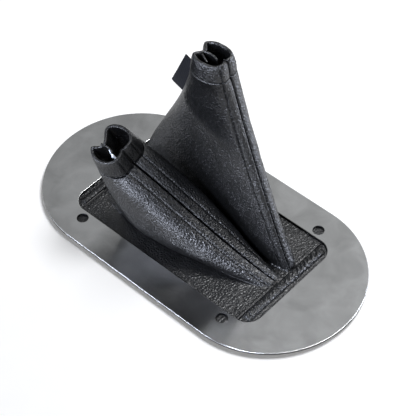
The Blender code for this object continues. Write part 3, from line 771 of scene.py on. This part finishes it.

# painted shade: the cut edge's colour is painted dark, and it is rough, so that the plate's edge reads as a
# dark line under its bright rim
shaded_cut_edge, cut_tree, cut_shader = start_material("laser-cut stainless edge painted dark as shade")
cut_place = add_node(cut_tree, "ShaderNodeTexCoord", {}).outputs["Object"]
drag = add_node(cut_tree, "ShaderNodeTexNoise", {"Scale": 1 / (0.8 * MM), "Detail": 2.0},
                [("Vector", cut_place)])
cut_bump = add_node(cut_tree, "ShaderNodeBump", {"Strength": 0.6, "Distance": 0.05 * MM},
                    [("Height", drag.outputs["Fac"])])
cut_shade = add_node(cut_tree, "ShaderNodeMix",
                     {"data_type": "RGBA", 6: colour("#1c1c1d"), 7: colour("#3a3a3b")},
                     [(0, drag.outputs["Fac"])])
cut_tree.links.new(cut_shade.outputs[2], cut_shader.inputs["Base Color"])
cut_tree.links.new(cut_bump.outputs["Normal"], cut_shader.inputs["Normal"])
cut_shader.inputs["Metallic"].default_value = 1.0
cut_shader.inputs["Roughness"].default_value = 0.5
trim_plate = make_piece("trim_plate", plate, steel, ["trim_ring"])
trim_plate.data.materials.append(shaded_cut_edge)
for polygon in trim_plate.data.polygons:
    polygon.use_smooth = abs(polygon.normal.z) < 0.99


# ---------------------------------------------------------------------------------------------
# Studio: white paper lit by one soft box above, four side soft boxes that light only the part, a grey
# surround and a black flag that the plate mirrors, and the camera at the photograph's viewing angle.
# ---------------------------------------------------------------------------------------------
CAMERA_AZIMUTH = math.radians(44.913)
CAMERA_ELEVATION = math.radians(49.354)
CAMERA_ROLL = math.radians(-3.032)
CAMERA_DISTANCE = 1.1257
CAMERA_TARGET = Vector((-0.00711, 0.016245, 0.0049))
FOCAL_LENGTH = 124.6
SENSOR_WIDTH = 36.0
BOXES_LOOK_AT = Vector((0.0, 0.0, 0.06))
PAPER_HALF_SIZE = 4.0
PAPER_DROP = 0.2 * MM
PAPER_GLOW = 0.2                    # lifts the paper to white, for the camera and in mirrors only

paper, paper_tree, paper_shader = start_material("matt white background paper")
paper_place = add_node(paper_tree, "ShaderNodeTexCoord", {}).outputs["Object"]
fibres = add_node(paper_tree, "ShaderNodeTexNoise", {"Scale": 60.0}, [("Vector", paper_place)])
paper_shade = add_node(paper_tree, "ShaderNodeMix",
                       {"data_type": "RGBA", 6: colour("#f2f2f2"), 7: colour("#f7f7f7")},
                       [(0, fibres.outputs["Fac"])])
paper_tree.links.new(paper_shade.outputs[2], paper_shader.inputs["Base Color"])
paper_shader.inputs["Roughness"].default_value = 0.9
paper_shader.inputs["Emission Color"].default_value = (1.0, 1.0, 1.0, 1.0)
ray = add_node(paper_tree, "ShaderNodeLightPath", {})
seen = add_node(paper_tree, "ShaderNodeMath", {"operation": "MAXIMUM"},
                [(0, ray.outputs["Is Camera Ray"]), (1, ray.outputs["Is Glossy Ray"])])
seen = add_node(paper_tree, "ShaderNodeMath", {"operation": "MAXIMUM"},
                [(0, seen.outputs["Value"]), (1, ray.outputs["Is Transmission Ray"])])
glow = add_node(paper_tree, "ShaderNodeMath", {"operation": "MULTIPLY", 1: PAPER_GLOW},
                [(0, seen.outputs["Value"])])
paper_tree.links.new(glow.outputs["Value"], paper_shader.inputs["Emission Strength"])
floor_shape = bmesh.new()
bmesh.ops.create_grid(floor_shape, x_segments=2, y_segments=2, size=PAPER_HALF_SIZE,
                      matrix=Matrix.Translation((0, 0, -PAPER_DROP)))
floor_mesh = bpy.data.meshes.new("paper_floor")
floor_shape.to_mesh(floor_mesh)
floor_shape.free()
floor_mesh.materials.append(paper)
paper_floor = bpy.data.objects.new("paper_floor", floor_mesh)
bpy.context.scene.collection.objects.link(paper_floor)

surround = bpy.data.worlds.new("grey studio walls")
bpy.context.scene.world = surround
surround.use_nodes = True
sky = surround.node_tree
sky_place = add_node(sky, "ShaderNodeTexCoord", {}).outputs["Generated"]
sky_axes = add_node(sky, "ShaderNodeSeparateXYZ", {}, [("Vector", sky_place)])
back_way = add_node(sky, "ShaderNodeVectorMath", {"operation": "DOT_PRODUCT", 1: (-0.45, 0.75, 0.49)},
                    [(0, sky_place)])
back_wall = add_node(sky, "ShaderNodeMapRange",
                     {"interpolation_type": "SMOOTHSTEP", "From Min": 0.35, "From Max": 0.78},
                     [("Value", back_way.outputs["Value"])])
ceiling = add_node(sky, "ShaderNodeMapRange",
                   {"interpolation_type": "SMOOTHSTEP", "From Min": 0.84, "From Max": 0.95, "To Min": 1.0,
                    "To Max": 0.0},
                   [("Value", sky_axes.outputs["Z"])])
sideways = add_node(sky, "ShaderNodeMapRange",
                    {"From Min": -0.6, "From Max": -0.3, "To Min": 0.32, "To Max": 0.72},
                    [("Value", sky_axes.outputs["X"])])
wall = add_node(sky, "ShaderNodeMath", {"operation": "MULTIPLY"},
                [(0, back_wall.outputs["Result"]), (1, ceiling.outputs["Result"])])
wall = add_node(sky, "ShaderNodeMath", {"operation": "MULTIPLY"},
                [(0, wall.outputs["Value"]), (1, sideways.outputs["Result"])])
wall = add_node(sky, "ShaderNodeMath", {"operation": "ADD", 1: 0.04}, [(0, wall.outputs["Value"])])
sky.links.new(wall.outputs["Value"], sky.nodes["Background"].inputs["Strength"])
sky.nodes["Background"].inputs["Color"].default_value = (0.96, 0.98, 1.0, 1.0)

# only mirrors see the flag: it gives the plate's near side its dark reflection
flag_cloth, _, flag_shader = start_material("matt black flag cloth")
flag_shader.inputs["Base Color"].default_value = colour("#050505")
flag_shader.inputs["Roughness"].default_value = 1.0
flag_shape = bmesh.new()
bmesh.ops.create_grid(flag_shape, x_segments=1, y_segments=1, size=0.5)
flag_corners = ((28.0, -115.5, 88.3), (29.6, -4.1, 85.2), (-176.7, -64.8, 211.0), (-172.0, 55.0, 204.0))
for vert, place in zip(flag_shape.verts, flag_corners):
    vert.co = Vector(place) * MM
flag_mesh = bpy.data.meshes.new("black_flag")
flag_shape.to_mesh(flag_mesh)
flag_shape.free()
flag_mesh.materials.append(flag_cloth)
black_flag = bpy.data.objects.new("black_flag", flag_mesh)
bpy.context.scene.collection.objects.link(black_flag)
black_flag.visible_camera = False
black_flag.visible_diffuse = False
black_flag.visible_shadow = False

on_the_part = bpy.data.collections.new("lit by the low soft boxes")
for piece in bpy.context.scene.objects:
    if piece.type == "MESH" and piece not in (paper_floor, black_flag):
        on_the_part.objects.link(piece)


def soft_box(name, place, size, watts, tint, receivers=None):
    """A square soft box that looks at the boots; with receivers it lights nothing else."""
    lamp = bpy.data.lights.new(name, "AREA")
    lamp.shape = "SQUARE"
    lamp.size = size
    lamp.energy = watts
    lamp.color = colour(tint)[:3]
    holder = bpy.data.objects.new(name, lamp)
    way = Vector(place) - BOXES_LOOK_AT
    holder.matrix_world = Matrix.Translation(place) @ way.to_track_quat("Z", "Y").to_matrix().to_4x4()
    bpy.context.scene.collection.objects.link(holder)
    if receivers:
        holder.light_linking.receiver_collection = receivers


soft_box("low front soft box", (-0.38, -0.94, 0.15), 0.4, 9.0, "#e6edff", on_the_part)
soft_box("high front soft box", (0.26, -0.88, 0.62), 0.45, 22.0, "#e6edff", on_the_part)
soft_box("top soft box", (0.16, 0.46, 1.2), 0.5, 16.0, "#fbfcff")
soft_box("left soft box", (-0.75, -0.55, 0.72), 0.5, 3.0, "#eef3ff", on_the_part)
soft_box("right soft box", (0.78, 0.8, 0.14), 0.4, 16.0, "#e6edff", on_the_part)

back = Vector((math.sin(CAMERA_AZIMUTH) * math.cos(CAMERA_ELEVATION),
               -math.cos(CAMERA_AZIMUTH) * math.cos(CAMERA_ELEVATION), math.sin(CAMERA_ELEVATION)))
right = Vector((math.cos(CAMERA_AZIMUTH), math.sin(CAMERA_AZIMUTH), 0.0))
view = Matrix((right, back.cross(right), back)).transposed().to_4x4()
lens = bpy.data.cameras.new("camera")
lens.lens = FOCAL_LENGTH
lens.sensor_width = SENSOR_WIDTH
camera = bpy.data.objects.new("camera", lens)
rolled = view @ Matrix.Rotation(CAMERA_ROLL, 4, "Z")
camera.matrix_world = Matrix.Translation(CAMERA_TARGET + back * CAMERA_DISTANCE) @ rolled
bpy.context.scene.collection.objects.link(camera)
bpy.context.scene.camera = camera
bpy.context.scene.view_settings.view_transform = "Standard"
